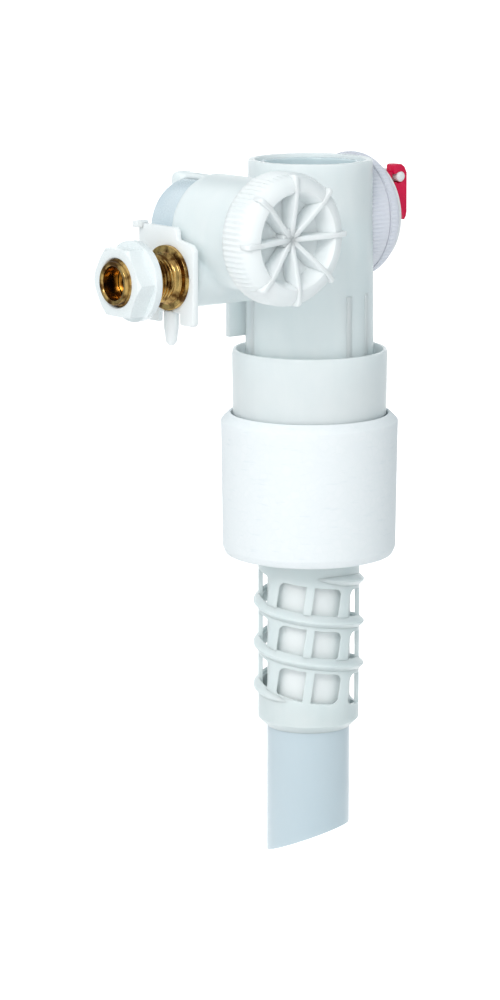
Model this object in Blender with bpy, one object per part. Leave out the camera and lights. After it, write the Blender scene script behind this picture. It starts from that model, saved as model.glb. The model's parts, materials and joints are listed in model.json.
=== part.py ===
"""Side-inlet float valve: a coaxial float slides under the barrel and trips a small lever on the rear arm.

Millimetres in the constants, metres in the mesh. +Z is up, along the barrel. The origin is the centre of the
inlet nipple's flange face, which seats on the tank wall; the nipple points along -X, the front cap along -Y.
"""
import math

import bmesh
import bpy
from mathutils import Matrix, Vector

MM = 0.001
GAP = 0.3            # between pieces that touch
ROUND = 40           # sides of a large round piece
SMALL_ROUND = 24

# barrel and tubes
BARREL_X = 66.0
BARREL_R = 22.1
BARREL_TOP = 36.0
BARREL_END = -40.0
BARREL_BORE = 17.0
RIM_BORE = 19.8
RIM_SEAT = 16.0
SOCKET_R = 16.4
FIN_END = -26.9
SOCKET_END = -62.0
OUTLET_R = 15.0
OUTLET_WALL = 1.9
OUTLET_TOP = -44.0
CUT_Z = -213.0
CUT_ANGLE = math.radians(22.5)
CUT_TURN = math.radians(20.4)

# chamber, front cap and back plug, all on one axis along Y
CHAMBER_X = 25.5
CHAMBER_Z = 14.5
CHAMBER_R = 19.5
CHAMBER_BORE = 16.0
CHAMBER_FRONT = -26.5
CHAMBER_BACK = 4.9
CHAMBER_WALL = 3.9
TAIL_BORE = 3.0
PLUG_R = 17.0
PLUG_END = 20.2
CAP_R = 23.0
CAP_RING_R = 20.0
CAP_MOUTH_R = 13.2
CAP_DISH_R = 8.0
CAP_RIM_Y = -35.5
CAP_RIB_Y = -39.5
CAP_SKIRT_Y = -25.3
CAP_RIBS = 8
CAP_RIB_R = 22.5
CAP_RIB_WIDE = 1.8

# inlet
NIPPLE_R = 8.33      # G3/8 thread
NIPPLE_BORE = 5.75
NIPPLE_LONG = 23.0
FLANGE_R = 11.3
FLANGE_THICK = 2.4
TAIL_R = 7.7
TAIL_END = 14.5
PIPE_R = 11.2
PIPE_BORE = 8.0
PIPE_END = 6.0
NUT_FLATS = 23.0
NUT_FRONT = -21.5
NUT_FLANGE_R = 14.0
NUT_FLANGE_X = -14.8
NUT_BACK = -12.3
PLATE_X = 2.8
PLATE_THICK = 2.4

# rear arm, ring and lever
REAR_Y = 5.0
REAR_Z = 15.0
ARM_R = 16.0
ARM_BORE = 12.0
ARM_END = 92.0
COLLAR_R = 21.8
COLLAR_END = 88.7
RING_R = 22.0
RING_X0 = 89.2
RING_X1 = 95.0
LEVER_X = 104.0
LEVER_Y = -6.2
EAR_Y = -1.5
FOOT_X = 105.4
FLANGE_X0 = 95.3
FLANGE_X1 = 96.4
REAR_FLANGE_R = 20.0
LEVER_THICK = 4.4
PIN_Z = 28.5
PIN_R = 1.9
ROD_Y = 29.5
ROD_X = 93.0
ROD_TOP = 18.2

# float group
CUP_R = 27.5
CUP_WALL = 1.5
CUP_TOP = -31.0
CUP_END = -56.5
FLOAT_R_TOP = 31.7
FLOAT_R_END = 31.0
FLOAT_TOP = -57.0
FLOAT_END = -106.0
FLOAT_BORE = 23.6
BUSH_R = 23.2
BUSH_BORE = 20.8
CAGE_R = 18.4
CAGE_WALL = 1.6
CAGE_END = -170.0
RIDGE_R = 20.2
RIDGE_HALF = 1.3
PITCH = 16.0
WINDOW_Z = (-124.0, -140.0, -156.0)
WINDOW_TALL = 10.5
WINDOW_WIDE = 20.0
WINDOW_BAR = 3.0
VIEW_SIDE = math.radians(50.0)   # turn of the window pattern about the barrel

WHITE = (0.86, 0.89, 0.88, 1)
MILKY = (0.80, 0.87, 0.87, 1)
BLUE = (0.70, 0.80, 0.86, 1)
BRASS = (0.78, 0.57, 0.26, 1)
RED = (0.80, 0.03, 0.08, 1)
RUBBER = (0.03, 0.03, 0.03, 1)
FOAM = (0.93, 0.95, 0.96, 1)
STEEL = (0.60, 0.60, 0.60, 1)

AXIS_TURN = {
    "Z": Matrix.Identity(4),
    "X": Matrix.Rotation(math.radians(90), 4, "Y"),    # local +Z becomes +X
    "-Y": Matrix.Rotation(math.radians(90), 4, "X"),   # local +Z becomes -Y
}


def clear():
    for old in list(bpy.data.objects):
        bpy.data.objects.remove(old, do_unlink=True)


def finish(name, bm, place, colour, rough=0.4, metal=0.0):
    """Turn a bmesh in millimetres into a named object at its place."""
    bmesh.ops.recalc_face_normals(bm, faces=bm.faces)
    bmesh.ops.scale(bm, vec=(MM, MM, MM), verts=bm.verts)
    mesh = bpy.data.meshes.new(name)
    bm.to_mesh(mesh)
    bm.free()
    piece = bpy.data.objects.new(name, mesh)
    bpy.context.scene.collection.objects.link(piece)
    turn = place.copy()
    turn.translation = turn.translation * MM
    piece.matrix_world = turn
    mesh.shade_smooth()
    mesh.set_sharp_from_angle(angle=math.radians(35))
    material = bpy.data.materials.new(name)
    material.use_nodes = True
    shader = material.node_tree.nodes["Principled BSDF"]
    shader.inputs["Base Color"].default_value = colour
    shader.inputs["Roughness"].default_value = rough
    shader.inputs["Metallic"].default_value = metal
    mesh.materials.append(material)
    return piece


def at(x, y, z, axis="Z"):
    return Matrix.Translation((x, y, z)) @ AXIS_TURN[axis]


def turned(name, outline, place, colour, sides=ROUND, **look):
    """A closed outline of (radius, height) spun about the local Z axis."""
    bm = bmesh.new()
    verts = [bm.verts.new((r, 0, h)) for r, h in outline]
    for a, b in zip(verts, verts[1:] + verts[:1]):
        if a.co.x > 1e-6 or b.co.x > 1e-6:
            bm.edges.new((a, b))
    bmesh.ops.spin(bm, geom=bm.verts[:] + bm.edges[:], cent=(0, 0, 0), axis=(0, 0, 1),
                   angle=math.tau, steps=sides, use_merge=True)
    bmesh.ops.remove_doubles(bm, verts=bm.verts, dist=0.0005)
    return finish(name, bm, place, colour, **look)


def tube(name, inner, outer, low, high, place, colour, sides=ROUND, **look):
    outline = [(outer, high), (outer, low), (inner, low), (inner, high)]
    return turned(name, outline, place, colour, sides, **look)


def rod(name, radius, low, high, place, colour, sides=ROUND, **look):
    return turned(name, [(0, high), (radius, high), (radius, low), (0, low)], place, colour, sides, **look)


def block(name, low, high, colour, place=None, **look):
    """A box between two corners."""
    bm = bmesh.new()
    bmesh.ops.create_cube(bm, size=1)
    size = Vector(high) - Vector(low)
    middle = (Vector(high) + Vector(low)) / 2
    bmesh.ops.scale(bm, vec=size, verts=bm.verts)
    bmesh.ops.translate(bm, vec=middle, verts=bm.verts)
    return finish(name, bm, place or Matrix.Identity(4), colour, **look)


def boolean(piece, tool, operation, solver):
    tool.hide_render = True
    tool.display_type = "WIRE"
    step = piece.modifiers.new(operation + "_" + tool.name, "BOOLEAN")
    step.operation = operation
    step.object = tool
    step.solver = solver


def join(piece, *tools, solver="EXACT"):
    for tool in tools:
        boolean(piece, tool, "UNION", solver)


def cut(piece, *tools, solver="EXACT"):
    for tool in tools:
        boolean(piece, tool, "DIFFERENCE", solver)


def valve_body():
    """Barrel, side chamber, inlet pipe and rear arm in one moulding."""
    body = rod("valve_body", BARREL_R, BARREL_END, BARREL_TOP, at(BARREL_X, 0, 0), MILKY, rough=0.35)
    join(
        body,
        rod("u_socket", SOCKET_R, SOCKET_END, BARREL_END + 4, at(BARREL_X, 0, 0), MILKY),
        rod("u_chamber", CHAMBER_R, -CHAMBER_BACK, -CHAMBER_FRONT, at(CHAMBER_X, 0, CHAMBER_Z, "-Y"), MILKY),
        rod("u_bridge", 15.0, 38.0, 58.0, at(0, 0, CHAMBER_Z, "X"), MILKY),
        rod("u_pipe", PIPE_R, PIPE_END, 55.0, at(0, 0, 0, "X"), MILKY),
        rod("u_arm", ARM_R, 74.0, ARM_END, at(0, REAR_Y, REAR_Z, "X"), MILKY),
        rod("u_collar", COLLAR_R, 74.0, COLLAR_END, at(0, REAR_Y, REAR_Z, "X"), MILKY),
        block("u_rail", (CHAMBER_X - 2.1, 0.0, 31.0), (CHAMBER_X + 2.1, 21.5, 33.4), MILKY),
        rod("u_knob", 3.4, CHAMBER_X - 3.5, CHAMBER_X + 3.5, at(0, 21.5, 30.2, "X"), MILKY, sides=SMALL_ROUND),
        block("u_fin", (42.5, 17.0, FIN_END), (55.0, 19.0, -2.0), MILKY),
        solver="MANIFOLD",
    )
    cut(
        body,
        rod("c_bore", BARREL_BORE, BARREL_END + 2, BARREL_TOP + 1, at(BARREL_X, 0, 0), MILKY),
        rod("c_rim", RIM_BORE, RIM_SEAT, BARREL_TOP + 2, at(BARREL_X, 0, 0), MILKY),
        rod("c_socket", OUTLET_R + GAP, SOCKET_END - 1, OUTLET_TOP + GAP, at(BARREL_X, 0, 0), MILKY),
        rod("c_throat", 12.7, OUTLET_TOP - 1, BARREL_END + 3, at(BARREL_X, 0, 0), MILKY),
        rod("c_chamber", CHAMBER_BORE, CHAMBER_WALL - CHAMBER_BACK, -CHAMBER_FRONT + 1, at(CHAMBER_X, 0, CHAMBER_Z, "-Y"), MILKY),
        rod("c_tail", TAIL_BORE, -CHAMBER_BACK - 1, 0.0, at(CHAMBER_X, 0, CHAMBER_Z, "-Y"), MILKY,
            sides=SMALL_ROUND),
        rod("c_pipe", PIPE_BORE, PIPE_END - 2, 24.0, at(0, 0, 0, "X"), MILKY),
        rod("c_bridge", 6.0, 36.0, 52.0, at(0, 0, CHAMBER_Z, "X"), MILKY, sides=SMALL_ROUND),
        rod("c_arm", ARM_BORE, 85.5, ARM_END + 1, at(0, REAR_Y, REAR_Z, "X"), MILKY),
        rod("c_pilot", 2.5, 80.0, 86.5, at(0, REAR_Y, REAR_Z, "X"), MILKY, sides=SMALL_ROUND),
        solver="MANIFOLD",
    )


def tubes():
    tube("rim_ring", BARREL_BORE, RIM_BORE - GAP, RIM_SEAT + GAP, BARREL_TOP - 0.4,
         at(BARREL_X, 0, 0), BLUE, rough=0.15)
    outlet = tube("outlet_tube", OUTLET_R - OUTLET_WALL, OUTLET_R, CUT_Z - 12, OUTLET_TOP,
                  at(BARREL_X, 0, 0), BLUE, rough=0.3)
    slope = (Matrix.Translation((BARREL_X, 0, CUT_Z)) @ Matrix.Rotation(CUT_TURN, 4, "Z")
             @ Matrix.Rotation(-CUT_ANGLE, 4, "X"))
    cut(outlet, block("c_oblique", (-40, -40, -60), (40, 40, 0), BLUE, slope))


def inlet():
    """Brass nipple and what sits on it or in it."""
    groove = TAIL_R - 1.4
    outline = [
        (NIPPLE_BORE, -NIPPLE_LONG), (NIPPLE_BORE, TAIL_END), (TAIL_R, TAIL_END), (TAIL_R, 13.0),
        (groove, 13.0), (groove, 10.0), (TAIL_R, 10.0), (TAIL_R, FLANGE_THICK),
        (FLANGE_R, FLANGE_THICK), (FLANGE_R, 0), (NIPPLE_R, 0),
        (NIPPLE_R, -NIPPLE_LONG + 0.8), (NIPPLE_R - 0.8, -NIPPLE_LONG),
    ]
    turned("inlet_nipple", outline, at(0, 0, 0, "X"), BRASS, rough=0.25, metal=1.0)
    tube("nipple_o_ring", groove + GAP, PIPE_BORE - GAP, 10.3, 12.7, at(0, 0, 0, "X"), RUBBER,
         SMALL_ROUND, rough=0.6)
    nut = turned("lock_nut", [(NUT_FLANGE_R, NUT_BACK), (NUT_FLANGE_R, NUT_FLANGE_X), (0, NUT_FLANGE_X),
                              (0, NUT_BACK)], at(0, 0, 0, "X"), WHITE, rough=0.4)
    hexagon = rod("u_hexagon", NUT_FLATS / math.sqrt(3), NUT_FRONT, NUT_FLANGE_X + 1,
                  at(0, 0, 0, "X") @ Matrix.Rotation(math.radians(30), 4, "Z"), WHITE, sides=6)
    join(nut, hexagon)
    cut(nut, rod("c_nut", NIPPLE_R + GAP, NUT_FRONT - 1, NUT_BACK + 1, at(0, 0, 0, "X"), WHITE))
    tube("nut_washer", NIPPLE_R + GAP, 12.0, NUT_BACK + GAP, NUT_BACK + 1.4, at(0, 0, 0, "X"), WHITE,
         SMALL_ROUND)
    plate = block("nipple_plate", (PLATE_X, -13.5, -12.0), (PLATE_X + PLATE_THICK, 16.5, 12.5), WHITE)
    join(plate, block("u_top", (PLATE_X, -4.0, 10.0), (PLATE_X + PLATE_THICK, 16.5, 17.5), WHITE))
    for name, low, high in (("u_leg_near", -13.5, -6.0), ("u_leg_far", 6.0, 13.5)):
        join(plate, block(name, (PLATE_X, low, -16.0), (PLATE_X + PLATE_THICK, high, -8.0), WHITE))
    join(plate, rod("u_peg", 2.6, -23.5, -11.7, at(PLATE_X + PLATE_THICK / 2, 0, 0), WHITE, sides=16))
    cut(plate, rod("c_plate", TAIL_R + GAP, 0, 8, at(0, 0, 0, "X"), WHITE))
    cut(plate, block("c_peg", (PLATE_X + PLATE_THICK, -4, -25), (PLATE_X + 8, 4, -9), WHITE))
    tube("inlet_strainer", 3.6, NIPPLE_BORE - GAP, -16.0, -6.0, at(0, 0, 0, "X"), BRASS, SMALL_ROUND,
         rough=0.4, metal=1.0)
    tube("flow_regulator", 1.5, NIPPLE_BORE - GAP, -5.0, -1.0, at(0, 0, 0, "X"), RUBBER, SMALL_ROUND)


def front_cap():
    """Knurled screw cap whose eight ribs stand in front of a ring."""
    axis = at(CHAMBER_X, 0, CHAMBER_Z, "-Y")
    floor = -CAP_RIM_Y - 3.8
    inside = -CHAMBER_FRONT + 1.3
    outline = [
        (0, floor), (CAP_DISH_R, floor), (CAP_MOUTH_R, -CAP_RIM_Y), (CAP_RING_R - 1, -CAP_RIM_Y),
        (CAP_RING_R, -CAP_RIM_Y - 1), (CAP_RING_R + 1.6, -CAP_RIM_Y - 2.6), (CAP_R, -CAP_RIM_Y - 5),
        (CAP_R, -CAP_SKIRT_Y), (CHAMBER_R + 0.4, -CAP_SKIRT_Y), (CHAMBER_R + 0.4, inside), (0, inside),
    ]
    cap = turned("front_cap", outline, axis, WHITE, rough=0.35)
    join(cap, rod("u_hub", 4.0, floor - 1, -CAP_RIB_Y, axis, WHITE, sides=SMALL_ROUND))
    for step in range(CAP_RIBS // 2):
        turn = axis @ Matrix.Rotation(step * math.tau / CAP_RIBS + math.radians(2), 4, "Z")
        low = (-CAP_RIB_R, -CAP_RIB_WIDE / 2, floor - 1)
        high = (CAP_RIB_R, CAP_RIB_WIDE / 2, -CAP_RIB_Y)
        join(cap, block("u_rib_%d" % step, low, high, WHITE, turn))
    tube("front_cap_seal", 16.4, CHAMBER_R - GAP, -CHAMBER_FRONT + GAP, -CHAMBER_FRONT + 1.0, axis, RUBBER, rough=0.6)


def chamber_parts():
    axis = at(CHAMBER_X, 0, CHAMBER_Z, "-Y")
    tube("diaphragm", 1.3, CHAMBER_BORE - GAP, 17.0, 18.5, axis, RUBBER, SMALL_ROUND, rough=0.6)
    tube("diaphragm_plate", 1.3, 9.0, 18.8, 21.0, axis, WHITE, SMALL_ROUND)
    rod("metering_pin", 1.0, 14.8, 27.4, axis, STEEL, 12, rough=0.3, metal=1.0)
    tube("seat_insert", 5.0, CHAMBER_BORE - GAP, 8.0, 14.5, axis, WHITE, SMALL_ROUND)
    plug = rod("back_plug", PLUG_R, -PLUG_END, -CHAMBER_BACK - GAP, axis, BLUE, rough=0.2)
    join(plug, rod("u_spigot", TAIL_BORE - GAP, -CHAMBER_BACK - 1, -1.3, axis, BLUE, sides=SMALL_ROUND))
    cut(
        plug,
        block("c_knob", (CHAMBER_X - 3.8, 17.8, 26.5), (CHAMBER_X + 3.8, 26, 40), BLUE),
        block("c_rail", (CHAMBER_X - 2.4, 4.0, 30.7), (CHAMBER_X + 2.4, 26, 40), BLUE),
        rod("c_plug_pipe", PIPE_R + GAP, 0, 60, at(0, 0, 0, "X"), BLUE),
        rod("c_plug_bridge", 15.0 + GAP, 37.7, 60, at(0, 0, CHAMBER_Z, "X"), BLUE),
    )


def rear_parts():
    """Rear plug with the pin's ear, the knurled ring around it, and the pilot pieces."""
    axis = at(0, REAR_Y, REAR_Z, "X")
    plug_x = ARM_END + GAP
    plug = turned("rear_plug", [(4.0, FLANGE_X1), (REAR_FLANGE_R, FLANGE_X1), (REAR_FLANGE_R, FLANGE_X0),
                                (17.0, FLANGE_X0), (17.0, plug_x), (ARM_BORE - GAP, plug_x),
                                (ARM_BORE - GAP, 88.0), (4.0, 88.0)], axis, WHITE)
    join(plug, block("u_ear", (95.8, EAR_Y, 24.5), (LEVER_X + 2.6, EAR_Y + 2.4, PIN_Z + 2.6), WHITE))
    cut(plug, rod("c_ear", PIN_R + 0.1, -5, 5, at(LEVER_X, 0, PIN_Z, "-Y"), WHITE, sides=16))
    rod("lever_pin", PIN_R, -EAR_Y - 3.0, -LEVER_Y + 0.6, at(LEVER_X, 0, PIN_Z, "-Y"), WHITE, 16)
    tube("rear_ring", 17.3, RING_R, RING_X0, RING_X1, axis, WHITE)
    tube("rear_seal", 8.0, ARM_BORE - GAP, 86.0, 87.6, axis, RUBBER, SMALL_ROUND, rough=0.6)
    rod("pilot_pin", 3.7, 89.9, FOOT_X - GAP, axis, WHITE, 16)
    rod("pilot_seal", 3.4, 88.0, 89.6, axis, RUBBER, 16, rough=0.6)


def plate_of(name, outline, thick, place, colour, **look):
    """A flat plate: an outline in the XZ plane, from Y = 0 to Y = thick."""
    bm = bmesh.new()
    face = bm.faces.new([bm.verts.new((x, 0, z)) for x, z in outline])
    made = bmesh.ops.extrude_face_region(bm, geom=[face])["geom"]
    bmesh.ops.translate(bm, vec=(0, thick, 0), verts=[v for v in made if isinstance(v, bmesh.types.BMVert)])
    return finish(name, bm, place, colour, **look)


def lever():
    """Red lever: a cam plate snapped on the pin, a foot on the pilot pin, and an arm over the push rod."""
    pin = at(LEVER_X, 0, PIN_Z)
    outline = [
        (-2.4, 4.0), (-1.0, 4.8), (1.2, 4.8), (2.8, 3.6), (3.8, 1.0), (3.8, -12.7), (2.6, -15.4),
        (1.9, -13.6), (0.6, -9.8), (-2.4, -5.4), (-6.4, -1.2), (-6.4, 1.4), (-5.6, 2.2), (-3.2, 2.2),
    ]
    plate = plate_of("pilot_lever", outline, LEVER_THICK, at(LEVER_X, LEVER_Y, PIN_Z), RED, rough=0.3)
    foot = FOOT_X - LEVER_X
    join(plate, block("u_foot", (foot, LEVER_Y + 0.5, -15.0), (foot + 1.2, REAR_Y + 3.0, -12.0), RED, pin))
    join(plate, block("u_arm_y", (-0.2, LEVER_Y + 1.0, -8.0), (1.8, ROD_Y + 2.5, -5.4), RED, pin))
    join(plate, block("u_arm_x", (ROD_X - LEVER_X - 2.5, ROD_Y - 2.0, -7.7), (1.5, ROD_Y + 2.5, -5.7), RED, pin))
    cut(plate, rod("c_pin", PIN_R + 0.1, -2, 10, at(LEVER_X, 0, PIN_Z, "-Y"), RED, sides=16))
    cut(plate, block("c_snap", (-3.4, LEVER_Y - 1, -1.3), (0, LEVER_Y + LEVER_THICK + 1, 1.3), RED, pin))
    cut(plate, block("c_notch", (-3.4, LEVER_Y - 1, -1.3), (-2.3, LEVER_Y + LEVER_THICK + 1, 6.0), RED, pin))


def float_group():
    centre = at(BARREL_X, 0, 0)
    bottom = CUP_END
    cup = turned("float_cup", [(CUP_R, CUP_TOP), (CUP_R, bottom + 1), (CUP_R - 1, bottom), (CAGE_R + GAP, bottom),
                               (CAGE_R + GAP, bottom + 1.7), (CUP_R - CUP_WALL, bottom + 1.7),
                               (CUP_R - CUP_WALL, CUP_TOP)], centre, MILKY, rough=0.35)
    join(cup, block("u_lug", (84.0, 19.0, -36.0), (ROD_X + 3, ROD_Y + 3, -33.0), MILKY))
    cut(cup, rod("c_lug", CUP_R - CUP_WALL, -50.0, CUP_TOP + 1, centre, MILKY))
    block("push_rod", (ROD_X - 1.5, ROD_Y - 1.5, -32.7), (ROD_X + 1.5, ROD_Y + 1.5, ROD_TOP), WHITE)
    flange = bottom + 1.7 + GAP
    chamfer = 3.0
    outline = [(CAGE_R - CAGE_WALL, flange + 1.6), (24.0, flange + 1.6), (24.0, flange), (CAGE_R, flange)]
    for z in WINDOW_Z:
        ridge = z + PITCH / 2
        outline += [(CAGE_R, ridge + RIDGE_HALF + 0.6), (RIDGE_R, ridge + RIDGE_HALF),
                    (RIDGE_R, ridge - RIDGE_HALF), (CAGE_R, ridge - RIDGE_HALF - 0.6)]
    outline += [
        (CAGE_R, CAGE_END + chamfer), (CAGE_R - 2.4, CAGE_END), (OUTLET_R + GAP, CAGE_END),
        (OUTLET_R + GAP, CAGE_END + chamfer), (CAGE_R - CAGE_WALL, CAGE_END + chamfer),
    ]
    cage = turned("float_cage", outline, centre, MILKY, rough=0.35)
    for row, z in enumerate(WINDOW_Z):
        for quarter in range(4):
            turn = Matrix.Translation((BARREL_X, 0, z)) @ Matrix.Rotation(
                VIEW_SIDE + math.radians(1.3) + quarter * math.pi / 2, 4, "Z")
            for side, low, high in (("left", -WINDOW_WIDE, -WINDOW_BAR), ("right", WINDOW_BAR, WINDOW_WIDE)):
                cut(cage, block("c_pane_%d_%d_%s" % (row, quarter, side), (8, low / 2, -WINDOW_TALL / 2),
                                (30, high / 2, WINDOW_TALL / 2), MILKY, turn))
    turned("float", [(FLOAT_R_TOP - 1.5, FLOAT_TOP), (FLOAT_R_TOP, FLOAT_TOP - 1.5),
                     (FLOAT_R_END, FLOAT_END + 2), (FLOAT_R_END - 2, FLOAT_END), (FLOAT_BORE, FLOAT_END),
                     (FLOAT_BORE, FLOAT_TOP)], centre, FOAM, rough=0.8)
    tube("float_bush", BUSH_BORE, BUSH_R, FLOAT_END + 0.5, FLOAT_TOP - 0.6, centre, WHITE)


clear()
valve_body()
tubes()
inlet()
front_cap()
chamber_parts()
rear_parts()
lever()
float_group()
bpy.context.view_layer.update()
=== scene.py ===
"""Finished look of a side-inlet float valve.

Moulded plastic body, brass inlet, bead-foam float and windowed cage. Shapes are built in
millimetres and published in metres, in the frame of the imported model.
"""
import json
import math

import bmesh
import bpy
from mathutils import Matrix, Vector


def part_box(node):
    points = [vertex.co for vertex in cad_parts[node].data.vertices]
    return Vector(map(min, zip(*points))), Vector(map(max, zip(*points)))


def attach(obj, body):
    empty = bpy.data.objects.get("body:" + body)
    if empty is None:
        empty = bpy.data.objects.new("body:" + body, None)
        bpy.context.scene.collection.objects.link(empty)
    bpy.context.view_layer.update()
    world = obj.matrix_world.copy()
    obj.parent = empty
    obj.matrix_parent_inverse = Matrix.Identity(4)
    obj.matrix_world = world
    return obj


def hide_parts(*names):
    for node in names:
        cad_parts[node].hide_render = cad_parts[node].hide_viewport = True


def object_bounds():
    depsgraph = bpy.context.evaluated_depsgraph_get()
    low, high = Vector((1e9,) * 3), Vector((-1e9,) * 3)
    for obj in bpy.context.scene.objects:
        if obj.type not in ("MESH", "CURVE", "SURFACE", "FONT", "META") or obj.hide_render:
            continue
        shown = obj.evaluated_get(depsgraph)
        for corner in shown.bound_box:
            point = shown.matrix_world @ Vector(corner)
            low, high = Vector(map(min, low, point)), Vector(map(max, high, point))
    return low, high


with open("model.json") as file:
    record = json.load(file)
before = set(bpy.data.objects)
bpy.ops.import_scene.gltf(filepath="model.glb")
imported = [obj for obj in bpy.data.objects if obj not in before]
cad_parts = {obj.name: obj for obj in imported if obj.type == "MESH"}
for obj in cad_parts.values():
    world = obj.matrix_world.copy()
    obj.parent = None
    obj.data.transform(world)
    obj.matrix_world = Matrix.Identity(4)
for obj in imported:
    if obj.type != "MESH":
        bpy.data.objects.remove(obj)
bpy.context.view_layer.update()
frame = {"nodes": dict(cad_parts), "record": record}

MM = 0.001
TURN = math.tau


# ---------------------------------------------------------------- places taken from the frame

def box_mm(node):
    low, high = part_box(node)
    return low / MM, high / MM


def middle(node):
    low, high = box_mm(node)
    return (low + high) / 2


FLOAT_LOW, FLOAT_HIGH = box_mm("float")
BARREL = middle("float")                     # x and y of the barrel's axis
BARREL_TOP = box_mm("valve_body")[1].z
CAP = middle("front_cap")                    # x and z of the chamber's axis
CAP_BACK = box_mm("front_cap")[1].y
CAP_FRONT = box_mm("front_cap")[0].y
REAR = middle("rear_ring")
REAR_IN, REAR_OUT = (corner.x for corner in box_mm("rear_ring"))
PIN = middle("lever_pin")
CUP_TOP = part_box("float_cup")[1].z / MM
CUP_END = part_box("float_cup")[0].z / MM
CAGE_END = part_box("float_cage")[0].z / MM

LOOK_ANGLE = math.radians(40)                # the camera stands this far round towards the inlet
TILT = math.radians(11.5)
FRONT_TURN = -math.pi / 2 - LOOK_ANGLE       # angle about the barrel of the side that faces the camera


def place(x, y, z, along="Z"):
    """Matrix that lays local +Z along an axis, at a point in millimetres."""
    turn = {
        "Z": Matrix.Identity(4),
        "X": Matrix.Rotation(math.pi / 2, 4, "Y"),
        "-Y": Matrix.Rotation(math.pi / 2, 4, "X"),
    }[along]
    return Matrix.Translation((x, y, z)) @ turn


ON_BARREL = place(BARREL.x, BARREL.y, 0)
ON_CHAMBER = place(CAP.x, 0, CAP.z, "-Y")
ON_INLET = place(0, 0, 0, "X")
ON_REAR = place(0, REAR.y, REAR.z, "X")


# ---------------------------------------------------------------- finishes

class Signal:
    """A number carried by a node's socket; + - * make Math nodes."""

    def __init__(self, finish, socket):
        self.finish = finish
        self.socket = socket

    def maths(self, operation, first, second):
        return self.finish.node("Math", {"operation": operation}, {0: first, 1: second})

    def __add__(self, other):
        return self.maths("ADD", self, other)

    def __radd__(self, other):
        return self.maths("ADD", other, self)

    def __sub__(self, other):
        return self.maths("SUBTRACT", self, other)

    def __rsub__(self, other):
        return self.maths("SUBTRACT", other, self)

    def __mul__(self, other):
        return self.maths("MULTIPLY", self, other)

    def __rmul__(self, other):
        return self.maths("MULTIPLY", other, self)


class Graph:
    """A node tree whose nodes are made by one method."""

    def __init__(self, tree):
        self.tree = tree

    def feed(self, socket, value):
        if isinstance(value, Signal):
            self.tree.links.new(value.socket, socket)
        else:
            socket.default_value = value

    def node(self, kind, settings=None, inputs=None, output=0):
        made = self.tree.nodes.new("ShaderNode" + kind)
        for key, value in (settings or {}).items():
            setattr(made, key, value)
        for key, value in (inputs or {}).items():
            self.feed(made.inputs[key], value)
        return Signal(self, made.outputs[output])

    def mix(self, amount, first, second):
        return self.node("MixRGB", {"blend_type": "MIX"}, {0: amount, 1: first, 2: second})

    def remap(self, value, low, high, to_low=0.0, to_high=1.0):
        return self.node("MapRange", {"clamp": True}, {0: value, 1: low, 2: high, 3: to_low, 4: to_high})


class Finish(Graph):
    """A material on the Principled shader, patterned in the piece's own coordinates."""

    def __init__(self, name, **shader):
        self.material = bpy.data.materials.new(name)
        self.material.use_nodes = True
        super().__init__(self.material.node_tree)
        self.shader = self.tree.nodes["Principled BSDF"]
        self.where = self.node("TexCoord", output="Object")
        for socket, value in shader.items():
            self.feed(self.shader.inputs[socket.replace("_", " ")], value)

    def noise(self, size, detail=3.0, stretch=(1, 1, 1)):
        """Noise from 0 to 1 whose features are about size metres across."""
        spread = self.node("Mapping", {}, {"Vector": self.where, "Scale": stretch})
        settings = {"noise_dimensions": "3D"}
        return self.node("TexNoise", settings, {"Vector": spread, "Scale": 1 / size, "Detail": detail})

    def surface(self, colour=None, rough=None, height=None, relief=0.1, reach=0.0002):
        if colour is not None:
            self.feed(self.shader.inputs["Base Color"], colour)
        if rough is not None:
            self.feed(self.shader.inputs["Roughness"], rough)
        if height is not None:
            bump = self.node("Bump", {}, {"Strength": relief, "Distance": reach, "Height": height}, "Normal")
            self.feed(self.shader.inputs["Normal"], bump)
        return self.material


def tone(red, green, blue):
    return (red, green, blue, 1.0)


def moulded(name, pale, deep, rough, glow, depth=0.003, flow=(1, 1, 0.25), **shader):
    """Injection-moulded plastic: cloudy tone, faint flow streaks, satin grain and a soft inner glow."""
    skin = Finish(name, IOR=1.49, Subsurface_Weight=glow, Subsurface_Scale=depth,
                  Subsurface_Radius=(1.0, 1.0, 1.0), **shader)
    cloud = skin.noise(0.018, 4.0)
    streak = skin.noise(0.004, 2.0, flow)
    grain = skin.noise(0.00035, 2.0)
    blend = skin.remap(cloud * 0.7 + streak * 0.3, 0.35, 0.68)
    colour = skin.mix(blend, pale, deep)
    return skin.surface(colour, rough + (cloud - 0.5) * 0.16 + (grain - 0.5) * 0.1,
                        grain * 0.35 + streak * 0.65, 0.16, 0.00012)


SOCKET_SHADE_LOW, SOCKET_SHADE_HIGH = -0.166, -0.158


def outlet_plastic(name):
    """Pale blue plastic that is whiter inside the cage, where the tube fits the socket."""
    skin = Finish(name, IOR=1.49, Subsurface_Weight=0.4, Subsurface_Scale=0.003,
                  Subsurface_Radius=(1.0, 1.0, 1.0))
    level = skin.node("SeparateXYZ", {}, {"Vector": skin.where}, "Z")
    cloud = skin.noise(0.02, 4.0, (1, 1, 0.3))
    white_end = skin.remap(level, SOCKET_SHADE_LOW, SOCKET_SHADE_HIGH)
    blue = skin.mix(cloud, tone(0.62, 0.71, 0.755), tone(0.56, 0.665, 0.72))
    colour = skin.mix(white_end, blue, tone(0.90, 0.94, 0.94))
    return skin.surface(colour, 0.24 + cloud * 0.12, cloud, 0.1, 0.0001)


BEAD_SIZE = 0.0030                            # metres, like every size in a finish


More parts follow.
